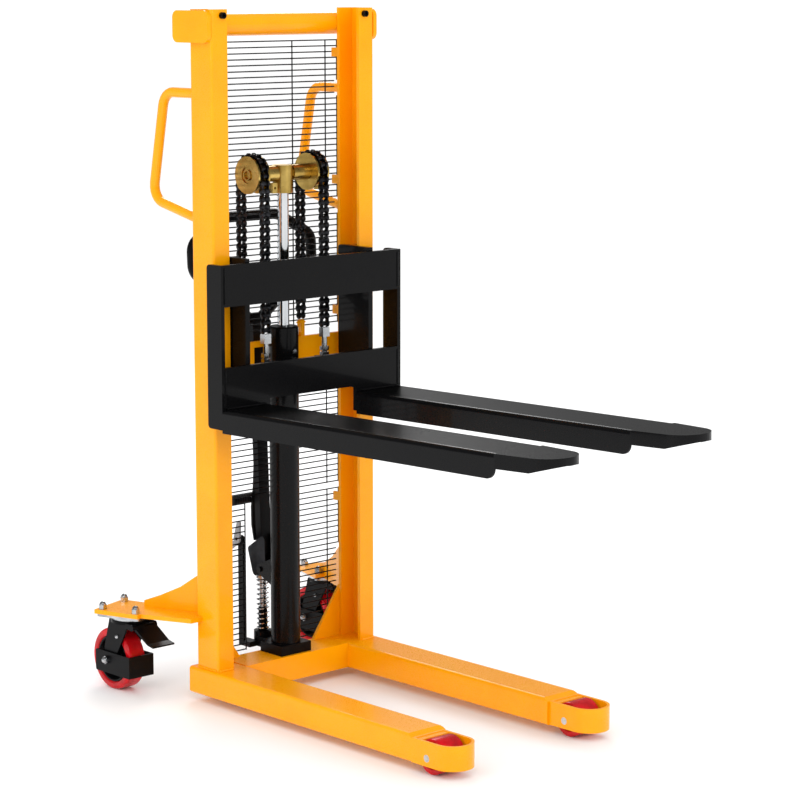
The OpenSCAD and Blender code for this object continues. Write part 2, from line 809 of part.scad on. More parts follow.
module chain_wraps() {
    turn = 360 / wheel_pitches;
    pins = [
        for (i = [0 : floor(180 / turn)])
            [cylinder_x + wheel_r * cos(i * turn), wheel_z + wheel_r * sin(i * turn)],
        [rear_chain_x, wheel_z - chain_pitch / 2]
    ];
    color(black) at_frame() both_sides() translate([0, chain_y, 0]) chain_links(pins, 0);
}

// Carriage

module carriage_upper_plate() {
    color(black) at_frame() along_x(plate_back_x, plate_front_x)
        translate([-side_in_y, upper_plate_low_z])
            square([2 * side_in_y, upper_plate_high_z - upper_plate_low_z]);
}

module carriage_lower_plate() {
    seat_z = fork_z - fork_plate;
    rib_w = 11;
    middle_rise = 20;
    lug_w = 38;
    color(black) at_frame() {
        along_x(plate_back_x, plate_front_x) {
            translate([-fork_in_y, seat_z + middle_rise])
                square([2 * fork_in_y, lower_plate_high_z - seat_z - middle_rise]);
            for (s = [0, 1]) mirror([s, 0]) {
                translate([fork_in_y, seat_z])
                    square([side_in_y - fork_in_y, lower_plate_high_z - seat_z]);
                translate([fork_in_y, seat_z - 44]) square([rib_w, 45]);
            }
        }
        both_sides() difference() {
            box(front_chain_x - 18, plate_back_x, chain_y - lug_w / 2, chain_y + lug_w / 2,
                lug_high_z - lug_t, lug_high_z);
            translate([front_chain_x, chain_y, lug_high_z - lug_t - 1]) cylinder(h = lug_t + 2, d = 14);
        }
    }
}

module chain_bolts() {
    clevis_h = 24;
    color(steel) at_frame() both_sides() translate([front_chain_x, chain_y, 0]) {
        translate([-8, -11, front_end_z - clevis_h]) cube([16, 22, clevis_h]);
        translate([0, 0, lug_high_z - lug_t - 12]) cylinder(h = front_end_z - lug_high_z + lug_t, d = 14);
        for (z = [lug_high_z, lug_high_z + 14]) translate([0, 0, z]) cylinder(h = 10, d = 24, $fn = 6);
        translate([0, 0, lug_high_z - lug_t - 11]) cylinder(h = 11, d = 24, $fn = 6);
    }
}

module carriage_side(side) {
    low_z = fork_z - 50.4;
    back_x = plate_back_x - 43.5;
    corner_r = 10;
    color(black) at_frame() on_side(side) along_y(side_in_y, carriage_y) {
        translate([back_x, low_z + corner_r])
            square([plate_front_x - back_x, upper_plate_high_z - low_z - 2 * corner_r]);
        translate([back_x + corner_r, low_z])
            square([plate_front_x - back_x - corner_r, upper_plate_high_z - low_z]);
        for (z = [low_z + corner_r, upper_plate_high_z - corner_r])
            translate([back_x + corner_r, z]) circle(corner_r);
    }
}

// Post behind the cross plates, with the pins of its two guide rollers
module carriage_post(side) {
    back_x = roller_x - 20;
    washer_t = 2;
    color(black) at_frame() on_side(side) {
        along_y(post_y - post_t, post_y) {
            translate([back_x + 8, post_low_z])
                square([plate_back_x - back_x - 8, upper_roller_z + 32 - post_low_z]);
            translate([back_x, post_low_z + 8])
                square([plate_back_x - back_x, upper_roller_z + 16 - post_low_z]);
            for (z = [post_low_z + 8, upper_roller_z + 24]) translate([back_x + 8, z]) circle(8);
        }
        for (z = [lower_roller_z, upper_roller_z]) {
            pin_y(roller_x, z, post_y, mast_y - web_t - 3, guide_pin_d);
            pin_y(roller_x, z, post_y, post_y + washer_t, guide_pin_d + 12);
        }
    }
}

module guide_roller(side, z) {
    inner_y = post_y + 2 + gap;
    outer_y = mast_y - web_t - 4;
    rim_r = 3;
    w = outer_y - inner_y;
    r = roller_d / 2;
    bore_r = guide_pin_d / 2 + fit;
    color(steel) at_frame() on_side(side) translate([roller_x, outer_y, z])
        rotate([90, 0, 0]) rotate_extrude() {
            translate([bore_r, 0]) square([r - rim_r - bore_r, w]);
            translate([bore_r, rim_r]) square([r - bore_r, w - 2 * rim_r]);
            for (y = [rim_r, w - rim_r]) translate([r - rim_r, y]) circle(rim_r);
        }
}

module fork_profile(depth) {
    r = 10;
    difference() {
        union() {
            translate([fork_in_y, -depth]) square([fork_w, depth - r]);
            translate([fork_in_y + r, -depth]) square([fork_w - 2 * r, depth]);
            for (y = [fork_in_y + r, carriage_y - r]) translate([y, -r]) circle(r);
        }
        translate([fork_in_y + fork_plate, -depth - 1])
            square([fork_w - 2 * fork_plate, depth + 1 - fork_plate]);
    }
}

module fork_plan(inset) {
    nose_r = 62;
    straight = fork_len * 0.86;
    half = fork_w / 2 - inset;
    mid = carriage_y - fork_w / 2;
    hull() {
        translate([0, mid - half]) square([straight, 2 * half]);
        for (y = [-1, 1]) translate([fork_len - nose_r, mid + y * (fork_w / 2 - nose_r - 10)])
            circle(nose_r - inset);
    }
}

module fork(side) {
    flange_end = fork_len - 156;
    corner_r = 24;
    lip_side = 34;
    lip_nose = 18;
    weld_bevel = 2.5;
    color(black) at_frame() on_side(side) intersection() {
        box(plate_front_x, 2 * fork_len, 0, 2 * carriage_y, -fork_depth, mast_h * 2);
        along_y(0, 2 * carriage_y) polygon([
            [plate_front_x, 0], [2 * fork_len, 0], [2 * fork_len, 2 * mast_h],
            [plate_front_x + weld_bevel, 2 * mast_h], [plate_front_x + weld_bevel, fork_z + 1],
            [plate_front_x, fork_z - weld_bevel]
        ]);
        translate([plate_front_x, 0, fork_z]) rotate([0, -fork_tilt, 0]) {
            difference() {
                along_x(-10, flange_end) fork_profile(fork_depth);
                along_y(0, 2 * carriage_y) difference() {
                    translate([flange_end - corner_r, -fork_depth - 1]) square([corner_r + 1, corner_r + 1]);
                    translate([flange_end - corner_r, corner_r - fork_depth]) circle(corner_r);
                }
            }
            intersection() {
                translate([0, 0, -lip_side]) linear_extrude(lip_side) difference() {
                    fork_plan(0);
                    fork_plan(fork_plate);
                }
                along_y(0, 2 * carriage_y) polygon([
                    [flange_end, 0], [fork_len, 0], [fork_len, -lip_nose],
                    [fork_len - 60, -lip_side], [flange_end, -lip_side]
                ]);
            }
            translate([0, 0, -fork_plate]) linear_extrude(fork_plate) intersection() {
                fork_plan(0);
                translate([flange_end, 0]) square([fork_len, 2 * carriage_y]);
            }
        }
    }
}

// Pump and handle

module pump_block() {
    boss_r = 24;
    barrel_d = spring_d - 2 * spring_wire - 1.4;
    barrel_top = spring_low_z + 62;
    color(black) at_frame() {
        difference() {
            union() {
                box(cylinder_x - 42, cylinder_x + 42, -50, 50, leg_top, block_top_z);
                box(plunger_x, cylinder_x, -boss_r, boss_r, leg_top, block_top_z);
                translate([plunger_x, 0, leg_top]) cylinder(h = spring_low_z - leg_top, r = boss_r);
                translate([plunger_x, 0, leg_top]) cylinder(h = barrel_top - leg_top, d = barrel_d);
            }
            translate([plunger_x, 0, leg_top + 6]) cylinder(h = 200, d = plunger_d + 2 * fit);
        }
        box(release_x - 10, plunger_x + 4, -boss_r - 25, -boss_r + 4, leg_top, leg_top + 14);
        box(release_x - 10, release_x + 10, -boss_r - 25, -boss_r - 19, leg_top, release_z - 8);
        difference() {
            pin_y(release_x, release_z - 4, -boss_r - 25, -boss_r - 19, 24);
            pin_y(release_x, release_z, -90, 0, 8);
        }
        pin_y(release_x, release_z, -boss_r - 39, -boss_r - 19, 8);
    }
}

module pump_plunger() {
    cap_d = spring_d + 1.4;
    color(steel) at_frame() translate([plunger_x, 0, 0]) {
        translate([0, 0, leg_top + 36]) cylinder(h = spring_high_z - leg_top - 36, d = plunger_d);
        translate([0, 0, spring_high_z]) cylinder(h = 7, d = cap_d);
        translate([0, 0, spring_high_z + 7]) cylinder(h = cap_top_z - spring_high_z - 7, d = cap_d - 12);
    }
}

// Height of the spring's wire after the given number of turns, with closed ends
spring_sides = 6;
spring_rings = 8;
spring_all = spring_turns + 2;
function spring_rise(turn) =
    let(free = spring_high_z - spring_low_z - 2 * gap - spring_wire,
        pitch = (free - 2 * spring_wire * 1.12) / spring_turns)
    spring_low_z + gap + spring_wire / 2 + (
        turn < 1 ? turn * spring_wire * 1.12
        : turn < 1 + spring_turns ? spring_wire * 1.12 + (turn - 1) * pitch
        : spring_wire * 1.12 + spring_turns * pitch + (turn - 1 - spring_turns) * spring_wire * 1.12);

module pump_spring() {
    mean_r = (spring_d - spring_wire) / 2;
    rings = round(spring_all * spring_rings);
    function centre(i) = let(turn = i * spring_all / rings, a = turn * 360)
        [mean_r * cos(a), mean_r * sin(a), spring_rise(turn)];
    points = [for (i = [0 : rings]) let(c = centre(i), a = i * spring_all / rings * 360)
        for (k = [0 : spring_sides - 1]) let(b = k * 360 / spring_sides + 30)
            c + spring_wire / 2 * [cos(a) * cos(b), sin(a) * cos(b), sin(b)]];
    least = min([for (i = [0 : rings], j = [i + spring_rings - 2 : 1 : min(rings, i + spring_rings + 2)])
        if (j <= rings) norm(centre(i) - centre(j))]);
    echo("least gap between turns", least - spring_wire);
    color(steel) at_frame() translate([plunger_x, 0, 0]) polyhedron(points, tube_faces(rings + 1, spring_sides));
}

module pump_yoke() {
    color("#3A3C40") at_frame() {
        both_sides() along_y(yoke_in, yoke_in + yoke_t) difference() {
            hull() {
                translate([pivot_x, pivot_z]) circle(14);
                translate([plunger_x, press_z]) circle(13);
                translate([plunger_x - 20, pivot_z + 44]) circle(10);
                translate([pivot_x + 2, pivot_z + 76]) circle(10);
            }
            translate([pivot_x, pivot_z]) circle(d = 14 + 2 * fit);
        }
        pin_y(plunger_x, press_z, -yoke_in, yoke_in, press_roller_d);
        box(plunger_x - 12, plunger_x + 14, -yoke_in, yoke_in, pivot_z + 14, pivot_z + yoke_top);
    }
}

// Bar loop and straight shaft, drawn upright from the pivot and then leaned back
module pump_handle() {
    shaft_w = 34;
    root = yoke_top + handle_shaft_t / 2 * sin(handle_lean) + fit;
    half = loop_w / 2;
    top = handle_z - pivot_z;
    neck = top - 266;
    path = [
        [15, neck], [half, top - 132], [half, top - 60], [half - 112, top],
        [112 - half, top], [-half, top - 60], [-half, top - 132], [-15, neck]
    ];
    color(black) at_frame() translate([handle_x, 0, pivot_z]) rotate([0, -handle_lean, 0]) {
        box(-handle_shaft_t / 2, handle_shaft_t / 2, -shaft_w / 2, shaft_w / 2, root, neck + 16);
        rotate([90, 0, 90]) bent_bar(path, [40, 36, 60, 60, 36, 40], loop_bar_d);
    }
}

// Tread bar on a flat arm that runs from the yoke up to the handle's shaft
module foot_pedal() {
    arm_t = 6;
    arm_w = 18;
    tread_d = 26;
    tread_half = 60;
    top_z = pivot_z + 300;
    low_z = pivot_z + 66;
    weld_x = handle_x - (top_z - pivot_z) * tan(handle_lean)
        - handle_shaft_t / 2 / cos(handle_lean) - fit;
    color(black) at_frame() {
        along_y(-arm_w / 2, arm_w / 2) polygon([
            [plunger_x - 25, low_z], [plunger_x - 34, low_z + 40], [tread_x + 18, tread_z - 20],
            [tread_x + 26, tread_z + 30], [weld_x - arm_t, top_z], [weld_x, top_z],
            [tread_x + 26 + arm_t, tread_z + 30], [tread_x + 18 + arm_t, tread_z - 20],
            [plunger_x - 34 + arm_t, low_z + 40], [plunger_x - 25 + arm_t, low_z]
        ]);
        pin_y(tread_x, tread_z, -tread_half, tread_half, tread_d);
        box(tread_x, tread_x + 23, -arm_w / 2, arm_w / 2, tread_z - 6, tread_z + 6);
    }
}

module release_pedal() {
    arm_low = release_y - 16;
    arm_high = arm_low + 5;
    color(grey) at_frame() difference() {
        union() {
            along_y(arm_low, arm_high) {
                translate([release_x, release_z]) circle(12);
                polygon([
                    [release_x - 11, release_z + 4], [release_x + 2, release_z + 46],
                    [release_x + 14, release_z + 46], [release_x + 12, release_z]
                ]);
                polygon([
                    [release_x - 4, release_z - 12], [release_x + 8, release_z - 9],
                    [release_x - 20, release_z - 30], [release_x - 66, release_z - 18],
                    [release_x - 66, release_z - 12], [release_x - 22, release_z - 20]
                ]);
            }
            box(release_x - 70, release_x - 20, arm_low, arm_low + 36, release_z - 24, release_z - 19);
        }
        pin_y(release_x, release_z, -90, 0, 8 + 2 * fit);
    }
}

// Guards

// Flat net of level wires at an even pitch, with upright wires at the given places
module mesh_sheet(uprights, z0, z1) {
    last = len(uprights) - 1;
    rows = round((z1 - z0 - wire_d) / mesh_pitch);
    dz = (z1 - z0 - wire_d) / rows;
    along_x(mesh_x - wire_d / 2, mesh_x + wire_d / 2) difference() {
        translate([uprights[0] - wire_d / 2, z0])
            square([uprights[last] - uprights[0] + wire_d, z1 - z0]);
        for (i = [0 : last - 1], j = [0 : rows - 1])
            translate([uprights[i] + wire_d / 2, z0 + wire_d + j * dz])
                square([uprights[i + 1] - uprights[i] - wire_d, dz - wire_d]);
        for (s = [-1, 1], n = edge_notches)
            translate([s * (notch_y + lap_y) - lap_y, n[0]]) square([2 * lap_y, n[1] - n[0]]);
    }
}

module mesh_guard_upper() {
    color(black) at_frame() mesh_sheet(full_uprights, mesh_split_z + 121, mesh_high_z);
}

module mesh_guard_lower() {
    side_uprights = [for (y = full_uprights) if (y > 0) y];
    color(black) at_frame() {
        mesh_sheet(full_uprights, mesh_mid_z, mesh_split_z);
        both_sides() mesh_sheet(side_uprights, mesh_low_z, mesh_mid_z);
    }
}

module mesh_tabs() {
    tab_h = 23;
    color(paint) at_frame() both_sides() for (z = [mast_h - 125, mast_h - 451, 945, 450])
        box(mesh_x + wire_d / 2, -channel_depth, flange_y + 2, flange_y + 8, z, z + tab_h);
}

module grab_handle(side) {
    root_x = -channel_depth + grab_d;
    slope = 40 / 183;
    path = [
        [root_x, grab_high_z], [-channel_depth - 130, grab_high_z],
        [-channel_depth - 183, grab_low_z + 40], [root_x, grab_low_z - grab_d * slope]
    ];
    color(paint) at_frame() on_side(side) difference() {
        translate([0, mast_y - 22, 0]) rotate([90, 0, 0]) bent_bar(path, [42, 42], grab_d);
        box(-channel_depth, root_x + grab_d, 0, mast_y + grab_d, 0, mast_h);
    }
}

mast(1);  // mast_left
mast(-1);  // mast_right
top_cross_tube();
leg(1);  // leg_left
leg(-1);  // leg_right
leg_tip(1);  // leg_tip_left
leg_tip(-1);  // leg_tip_right
roller_axles();
base_cross_member();
mast_gussets();
outrigger(1);  // outrigger_left
outrigger(-1);  // outrigger_right
grab_handle(1);  // grab_handle_left
grab_handle(-1);  // grab_handle_right
mid_cross_member();
mesh_guard_upper();
mesh_guard_lower();
mesh_tabs();
stop_bolts();
zinc_fasteners();
pump_block();
lift_cylinder();
cylinder_gland();
caster_plate(1);  // caster_plate_left
caster_plate(-1);  // caster_plate_right
rear_chain_strands();
load_roller(1);  // load_roller_left
load_roller(-1);  // load_roller_right
piston_rod();
chain_head();
chain_shaft();
chain_wraps();
front_chain_strands();
chain_wheel(1);  // chain_wheel_left
chain_wheel(-1);  // chain_wheel_right
chain_bolts();
carriage_upper_plate();
carriage_lower_plate();
carriage_side(1);  // carriage_side_left
carriage_side(-1);  // carriage_side_right
carriage_post(1);  // carriage_post_left
carriage_post(-1);  // carriage_post_right
fork(1);  // fork_left
fork(-1);  // fork_right
guide_roller(1, upper_roller_z);  // guide_roller_upper_left
guide_roller(-1, upper_roller_z);  // guide_roller_upper_right
guide_roller(1, lower_roller_z);  // guide_roller_lower_left
guide_roller(-1, lower_roller_z);  // guide_roller_lower_right
caster_fork(1);  // caster_fork_left
caster_fork(-1);  // caster_fork_right
caster_wheel(1);  // caster_wheel_left
caster_wheel(-1);  // caster_wheel_right
brake_pedal(1);  // brake_pedal_left
brake_pedal(-1);  // brake_pedal_right
pump_handle();
pump_yoke();
foot_pedal();
pump_plunger();
pump_spring();
release_pedal();
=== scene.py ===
"""Looks of a hand pallet stacker: painted steel, wire guards, chains, rollers and casters."""
import math

import bmesh
import bpy
from mathutils import Matrix, Vector


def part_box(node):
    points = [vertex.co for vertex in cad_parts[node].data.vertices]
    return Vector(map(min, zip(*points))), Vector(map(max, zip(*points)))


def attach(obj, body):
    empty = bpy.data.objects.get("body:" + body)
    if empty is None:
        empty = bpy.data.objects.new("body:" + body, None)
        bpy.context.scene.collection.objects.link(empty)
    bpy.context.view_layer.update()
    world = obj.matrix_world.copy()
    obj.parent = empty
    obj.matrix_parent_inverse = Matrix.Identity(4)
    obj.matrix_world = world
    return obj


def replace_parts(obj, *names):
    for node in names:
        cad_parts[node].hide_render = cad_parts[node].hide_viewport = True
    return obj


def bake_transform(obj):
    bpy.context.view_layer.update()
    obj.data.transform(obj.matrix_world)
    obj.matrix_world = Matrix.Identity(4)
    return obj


bl_info = {
    "name": "Pallet stacker finishes",
    "version": (1, 0, 0),
    "blender": (4, 5, 0),
    "location": "3D View > Sidebar > Stacker",
    "description": "Dresses a packed pallet stacker with its finishes and fine pieces",
    "category": "Object",
}

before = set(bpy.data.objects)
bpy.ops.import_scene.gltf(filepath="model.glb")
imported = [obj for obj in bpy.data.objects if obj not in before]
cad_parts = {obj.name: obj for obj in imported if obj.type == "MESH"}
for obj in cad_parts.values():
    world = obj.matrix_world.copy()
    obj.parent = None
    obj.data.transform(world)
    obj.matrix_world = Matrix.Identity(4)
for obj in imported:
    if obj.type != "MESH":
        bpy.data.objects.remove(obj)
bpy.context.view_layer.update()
SIDES = {"left": 1.0, "right": -1.0}


def corners(node):
    """Lowest and highest corner of a CAD node at rest, as vectors."""
    low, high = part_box(node)
    return Vector(low), Vector(high)


MAST_LOW, MAST_HIGH = corners("mast_left")
MAST_FRONT = MAST_HIGH.x

# Wire guards: how far the notched rows reach, the inner uprights, the grab handles' ends below the
# mast's top, the notches' reach below and above what they clear, and the split round the pump
NOTCH_Y = MAST_HIGH.y - 0.038
UPRIGHTS = (0.084, 0.195)
GRAB_HIGH_DROP = 0.205
GRAB_LOW_DROP = 0.513
GUSSET_NOTCH = (0.010, 0.008)
GRAB_LOW_NOTCH = (0.016, 0.028)
GRAB_HIGH_NOTCH = (0.020, 0.020)
GUARD_SPLIT_Z = 0.497

# Wheels: the tyre's width and wall, and the hubs' bore, boss, web and rim
TYRE_HALF = 0.025
TYRE_WALL = 0.020
TYRE_SHOULDER = 0.007
HUB_BORE_R = 0.0092
HUB_HALF = 0.027
BOSS_R = 0.022
BOSS_FOOT_R = 0.025
BOSS_FOOT_HALF = 0.010
WEB_HALF = 0.008
RIM_DEPTH = 0.0198
RIM_WALL = 0.005
RIM_HALF = 0.023
LOAD_TREAD_BORE_R = 0.028
LOAD_TREAD_HALF = 0.035
LOAD_SHOULDER = 0.004
LOAD_HUB_R = 0.0278
LOAD_HUB_HALF = 0.030
LOAD_BOSS_R = 0.016
LOAD_BOSS_HALF = 0.043

# Fasteners: dome nuts on the outriggers' plates, nuts over the axles' plain CAD nuts, and rivets
# of the brake pedals, placed forward of the axle and above it
PLATE_T = 0.011
SEAT_TOLERANCE = 0.002
DOME_NUT_R = 0.0112
DOME_NUT_H = 0.0112
DOME_SHARE = 0.78
AXLE_NUT_R = 0.0108
AXLE_NUT_H = 0.0074
CAD_NUT_H = 0.010
RIVET_R = 0.0055
RIVET_FROM_AXLE = (0.036, 0.066)

# Foot pedal: radius of its bar and of the rubber sleeve, and the depth of the sleeve's grooves
TREAD_BAR_R = 0.013
SLEEVE_BORE_R = 0.0125
SLEEVE_R = 0.0138
GROOVE = 0.0011
SLEEVE_EDGE = 0.0005

# Welds: the fork roots' height on the lower plate, and how far the beads stop short of each end
ROOT_Z = corners("carriage_lower_plate")[1].z - 0.102
LOWER_SEAM_DROP = 0.105
PLATE_BEAD_STOP = 0.006
FORK_BEAD_STOP = 0.014
FOOT_BEAD_STOP = 0.004
RIPPLE = 0.0045

# Stage: half the floor's width, and the point that the lamps look at
FLOOR_HALF = 40.0
LIGHT_TARGET = (0, 0, 0.8)

# Camera, as fitted to the photograph, from the middle of the mast's foot
CAMERA_FROM_MAST = (5.021, -4.263, 1.822)
CAMERA_AZIMUTH = 47.39
CAMERA_PITCH = 9.23
CAMERA_LENS = 118.3


def linear(hex_colour):
    """An sRGB hex colour as the linear RGBA that shaders work in."""
    parts = [int(hex_colour[i:i + 2], 16) / 255 for i in (1, 3, 5)]
    return [c / 12.92 if c <= 0.04045 else ((c + 0.055) / 1.055) ** 2.4 for c in parts] + [1.0]


class StackerSizes(bpy.types.PropertyGroup):
    """Sizes of the fine pieces that the finishes add."""
    wire: bpy.props.FloatProperty(
        name="Guard wire", description="Diameter of the guards' wires",
        default=0.0034, min=0.002, max=0.005, unit="LENGTH")
    wire_pitch: bpy.props.FloatProperty(
        name="Wire pitch", description="Spacing of the guards' wires",
        default=0.015, min=0.010, max=0.050, unit="LENGTH")
    weld: bpy.props.FloatProperty(
        name="Weld bead", description="Width of the weld beads",
        default=0.007, min=0.003, max=0.012, unit="LENGTH")
    tread_rib: bpy.props.FloatProperty(
        name="Tread rib pitch", description="Spacing of the ribs on the pedal's rubber sleeve",
        default=0.008, min=0.004, max=0.015, unit="LENGTH")


class StackerColours(bpy.types.PropertyGroup):
    """Colours of the main finishes, as sRGB hex values."""
    paint: bpy.props.StringProperty(
        name="Frame paint", description="Yellow of the painted frame", default="#FFA800")
    black: bpy.props.StringProperty(
        name="Black paint", description="Black of the guards and handle", default="#0B0B0D")
    zinc: bpy.props.StringProperty(
        name="Zinc plate", description="Yellow zinc plate of the chain head", default="#D8B868")
    roller: bpy.props.StringProperty(
        name="Roller red", description="Red of the load rollers", default="#D60A18")


def node_in(material, kind, settings=None, links=None):
    """Adds one shader node, sets its sockets or fields, and links sockets from other nodes."""
    node = material.node_tree.nodes.new(kind)
    for key, value in (settings or {}).items():
        if isinstance(key, int) or key in node.inputs:
            node.inputs[key].default_value = value
        else:
            setattr(node, key, value)
    for key, source in (links or {}).items():
        material.node_tree.links.new(source, node.inputs[key])
    return node


def blank_material(name):
    """A new node material with nothing in it but its output."""
    material = bpy.data.materials.new(name)
    material.use_nodes = True
    material.node_tree.nodes.clear()
    return material


def shade(material, shader):
    """Links a shader to the material's output."""
    output = node_in(material, "ShaderNodeOutputMaterial")
    material.node_tree.links.new(shader.outputs[0], output.inputs["Surface"])
    return material


def mottled(material, coords, dark, light, scale, low=0.35, high=0.65):
    """Colour that drifts between two values in patches, as on handled or plated metal."""
    noise = node_in(material, "ShaderNodeTexNoise", {"Scale": scale, "Detail": 4.0},
                    {"Vector": coords})
    ramp = node_in(material, "ShaderNodeValToRGB", None, {"Fac": noise.outputs["Fac"]})
    ramp.color_ramp.elements[0].position = low
    ramp.color_ramp.elements[0].color = linear(dark)
    ramp.color_ramp.elements[1].position = high
    ramp.color_ramp.elements[1].color = linear(light)
    return ramp.outputs["Color"]


def grain(material, coords, scale, strength, distance, low, high):
    """Roughness drift and a fine bump from one noise; returns both sockets."""
    noise = node_in(material, "ShaderNodeTexNoise", {"Scale": scale, "Detail": 3.0},
                    {"Vector": coords})
    rough = node_in(material, "ShaderNodeMapRange", {"To Min": low, "To Max": high},
                    {"Value": noise.outputs["Fac"]})
    bump = node_in(material, "ShaderNodeBump", {"Strength": strength, "Distance": distance},
                   {"Height": noise.outputs["Fac"]})
    return rough.outputs["Result"], bump.outputs["Normal"]


def coordinates(material, stretch=(1, 1, 1)):
    """Object coordinates, stretched where a finish runs one way."""
    source = node_in(material, "ShaderNodeTexCoord")
    mapping = node_in(material, "ShaderNodeMapping", {"Scale": stretch},
                      {"Vector": source.outputs["Object"]})
    return mapping.outputs["Vector"]


def powder_paint(name, base, worn, coat, sheen):
    """Polyester powder coat: even colour, soft orange-peel ripple about 2 mm wide, clear gloss."""
    material = blank_material(name)
    coords = coordinates(material)
    colour = mottled(material, coords, worn, base, 9.0, 0.3, 0.6)
    rough, normal = grain(material, coords, 480.0, 0.05, 0.0005, 0.22, 0.34)
    shader = node_in(material, "ShaderNodeBsdfPrincipled",
                     {"Coat Weight": coat, "Coat Roughness": 0.06, "Specular IOR Level": sheen},
                     {"Base Color": colour, "Roughness": rough, "Normal": normal})
    return shade(material, shader)


def satin_paint(name, dark, light):
    """Satin black powder coat: fine texture about 1 mm wide, low sheen."""
    material = blank_material(name)
    coords = coordinates(material)
    colour = mottled(material, coords, dark, light, 14.0)
    rough, normal = grain(material, coords, 900.0, 0.10, 0.0004, 0.30, 0.45)
    shader = node_in(material, "ShaderNodeBsdfPrincipled",
                     {"Specular IOR Level": 0.09, "Coat Weight": 0.03},
                     {"Base Color": colour, "Roughness": rough, "Normal": normal})
    return shade(material, shader)


def plated_metal(name, dark, light, low, high, stretch=(1, 1, 1), scale=160.0, bump=0.06):
    """Plated or machined steel: patchy tone with fine tool marks along one way."""
    material = blank_material(name)
    coords = coordinates(material, stretch)
    colour = mottled(material, coords, dark, light, scale / 8)
    rough, normal = grain(material, coords, scale, bump, 0.0003, low, high)
    shader = node_in(material, "ShaderNodeBsdfPrincipled", {"Metallic": 1.0},
                     {"Base Color": colour, "Roughness": rough, "Normal": normal})
    return shade(material, shader)


def moulded_rubber(name, dark, light, low, high, coat=0.0):
    """Moulded rubber or cast polyurethane: slight mottling, fine pores, broad highlight."""
    material = blank_material(name)
    coords = coordinates(material)
    colour = mottled(material, coords, dark, light, 30.0)
    rough, normal = grain(material, coords, 700.0, 0.12, 0.0004, low, high)
    shader = node_in(material, "ShaderNodeBsdfPrincipled",
                     {"Specular IOR Level": 0.25, "Coat Weight": coat},
                     {"Base Color": colour, "Roughness": rough, "Normal": normal})
    return shade(material, shader)


FINISH = {}


def make_finishes(colours):
    """Every finish on the machine, by the name its makers would use."""
    FINISH["frame_paint"] = powder_paint("frame_powder_coat", colours.paint, "#FFA100", 0.2, 0.2)
    FINISH["black_paint"] = satin_paint("black_powder_coat", "#08080A", colours.black)
    FINISH["black_gloss"] = powder_paint("black_gloss_coat", "#0A0A0B", "#08080A", 0.12, 0.08)
    FINISH["zinc"] = plated_metal("yellow_zinc_plate", "#B09048", colours.zinc, 0.22, 0.38)
    FINISH["steel"] = plated_metal("bright_zinc_plate", "#A6A9AC", "#D2D4D6", 0.18, 0.32)
    FINISH["chrome"] = plated_metal("hard_chrome", "#C9CCCF", "#E4E6E8", 0.05, 0.12,
                                    (1, 1, 0.1), 300.0, 0.01)
    FINISH["chain"] = plated_metal("oiled_chain_steel", "#1C1C1E", "#3D3E41", 0.28, 0.45)
    FINISH["iron"] = plated_metal("phosphated_iron", "#2B2C2F", "#45474B", 0.4, 0.55)
    FINISH["roller"] = moulded_rubber("cast_polyurethane", "#B00912", colours.roller,
                                      0.2, 0.32, 0.15)
    FINISH["rubber"] = moulded_rubber("pedal_rubber", "#101011", "#1F1F21", 0.5, 0.65)
    FINISH["grey_paint"] = satin_paint("grey_enamel", "#8E9194", "#A9ACAE")
    FINISH["hub"] = satin_paint("grey_nylon_hub", "#6F7275", "#8B8E91")


def finish_node(node, finish):
    """Gives a CAD node's object one finish in every slot."""
    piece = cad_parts[node]
    if not piece.material_slots:
        piece.data.materials.append(FINISH[finish])
    for slot in piece.material_slots:
        slot.material = FINISH[finish]
    return piece


def new_piece(name, bm, finish, body, smooth=35.0):
    """Turns a bmesh in place into an object with a finish, riding on a body."""
    bmesh.ops.recalc_face_normals(bm, faces=bm.faces)
    mesh = bpy.data.meshes.new(name)
    bm.to_mesh(mesh)
    bm.free()
    piece = bpy.data.objects.new(name, mesh)
    bpy.context.scene.collection.objects.link(piece)
    mesh.materials.append(FINISH[finish])
    for polygon in mesh.polygons:
        polygon.use_smooth = True
    mesh.set_sharp_from_angle(angle=math.radians(smooth))
    if body:
        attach(piece, body)
    return piece


def tube_between(bm, start, end, radius, sides=8):
    """Adds a closed round bar from start to end."""
    start, end = Vector(start), Vector(end)
    run = end - start
    turn = run.to_track_quat("Z", "Y").to_matrix().to_4x4()
    place = Matrix.Translation((start + end) / 2) @ turn
    bmesh.ops.create_cone(bm, cap_ends=True, segments=sides, radius1=radius, radius2=radius,
                          depth=run.length, matrix=place)


def lathe(bm, centre, profile, steps=64):
    """Spins a closed (radius, y) profile once round a Y axis through centre."""
    centre = Vector(centre)
    points = [bm.verts.new(centre + Vector((0, y, r))) for r, y in profile]
    edges = [bm.edges.new((points[i], points[(i + 1) % len(points)])) for i in range(len(points))]
    bmesh.ops.spin(bm, geom=points + edges, cent=centre, axis=(0, 1, 0), angle=math.tau,
                   steps=steps, use_merge=True, use_duplicate=False)
    bmesh.ops.remove_doubles(bm, verts=bm.verts, dist=1e-6)


def round_corners(profile, radius, steps=4):
    """A closed profile with each corner replaced by a short arc."""
    rounded = []
    count = len(profile)
    for i, point in enumerate(profile):
        here = Vector(point)
        before = Vector(profile[i - 1])
        after = Vector(profile[(i + 1) % count])
        a, b = (before - here), (after - here)
        reach = min(radius, a.length / 2.1, b.length / 2.1)
        start, end = here + a.normalized() * reach, here + b.normalized() * reach
        for k in range(steps + 1):
            t = k / steps
            rounded.append(start * (1 - t) ** 2 + here * (2 * t * (1 - t)) + end * t ** 2)
    return [(p[0], p[1]) for p in rounded]


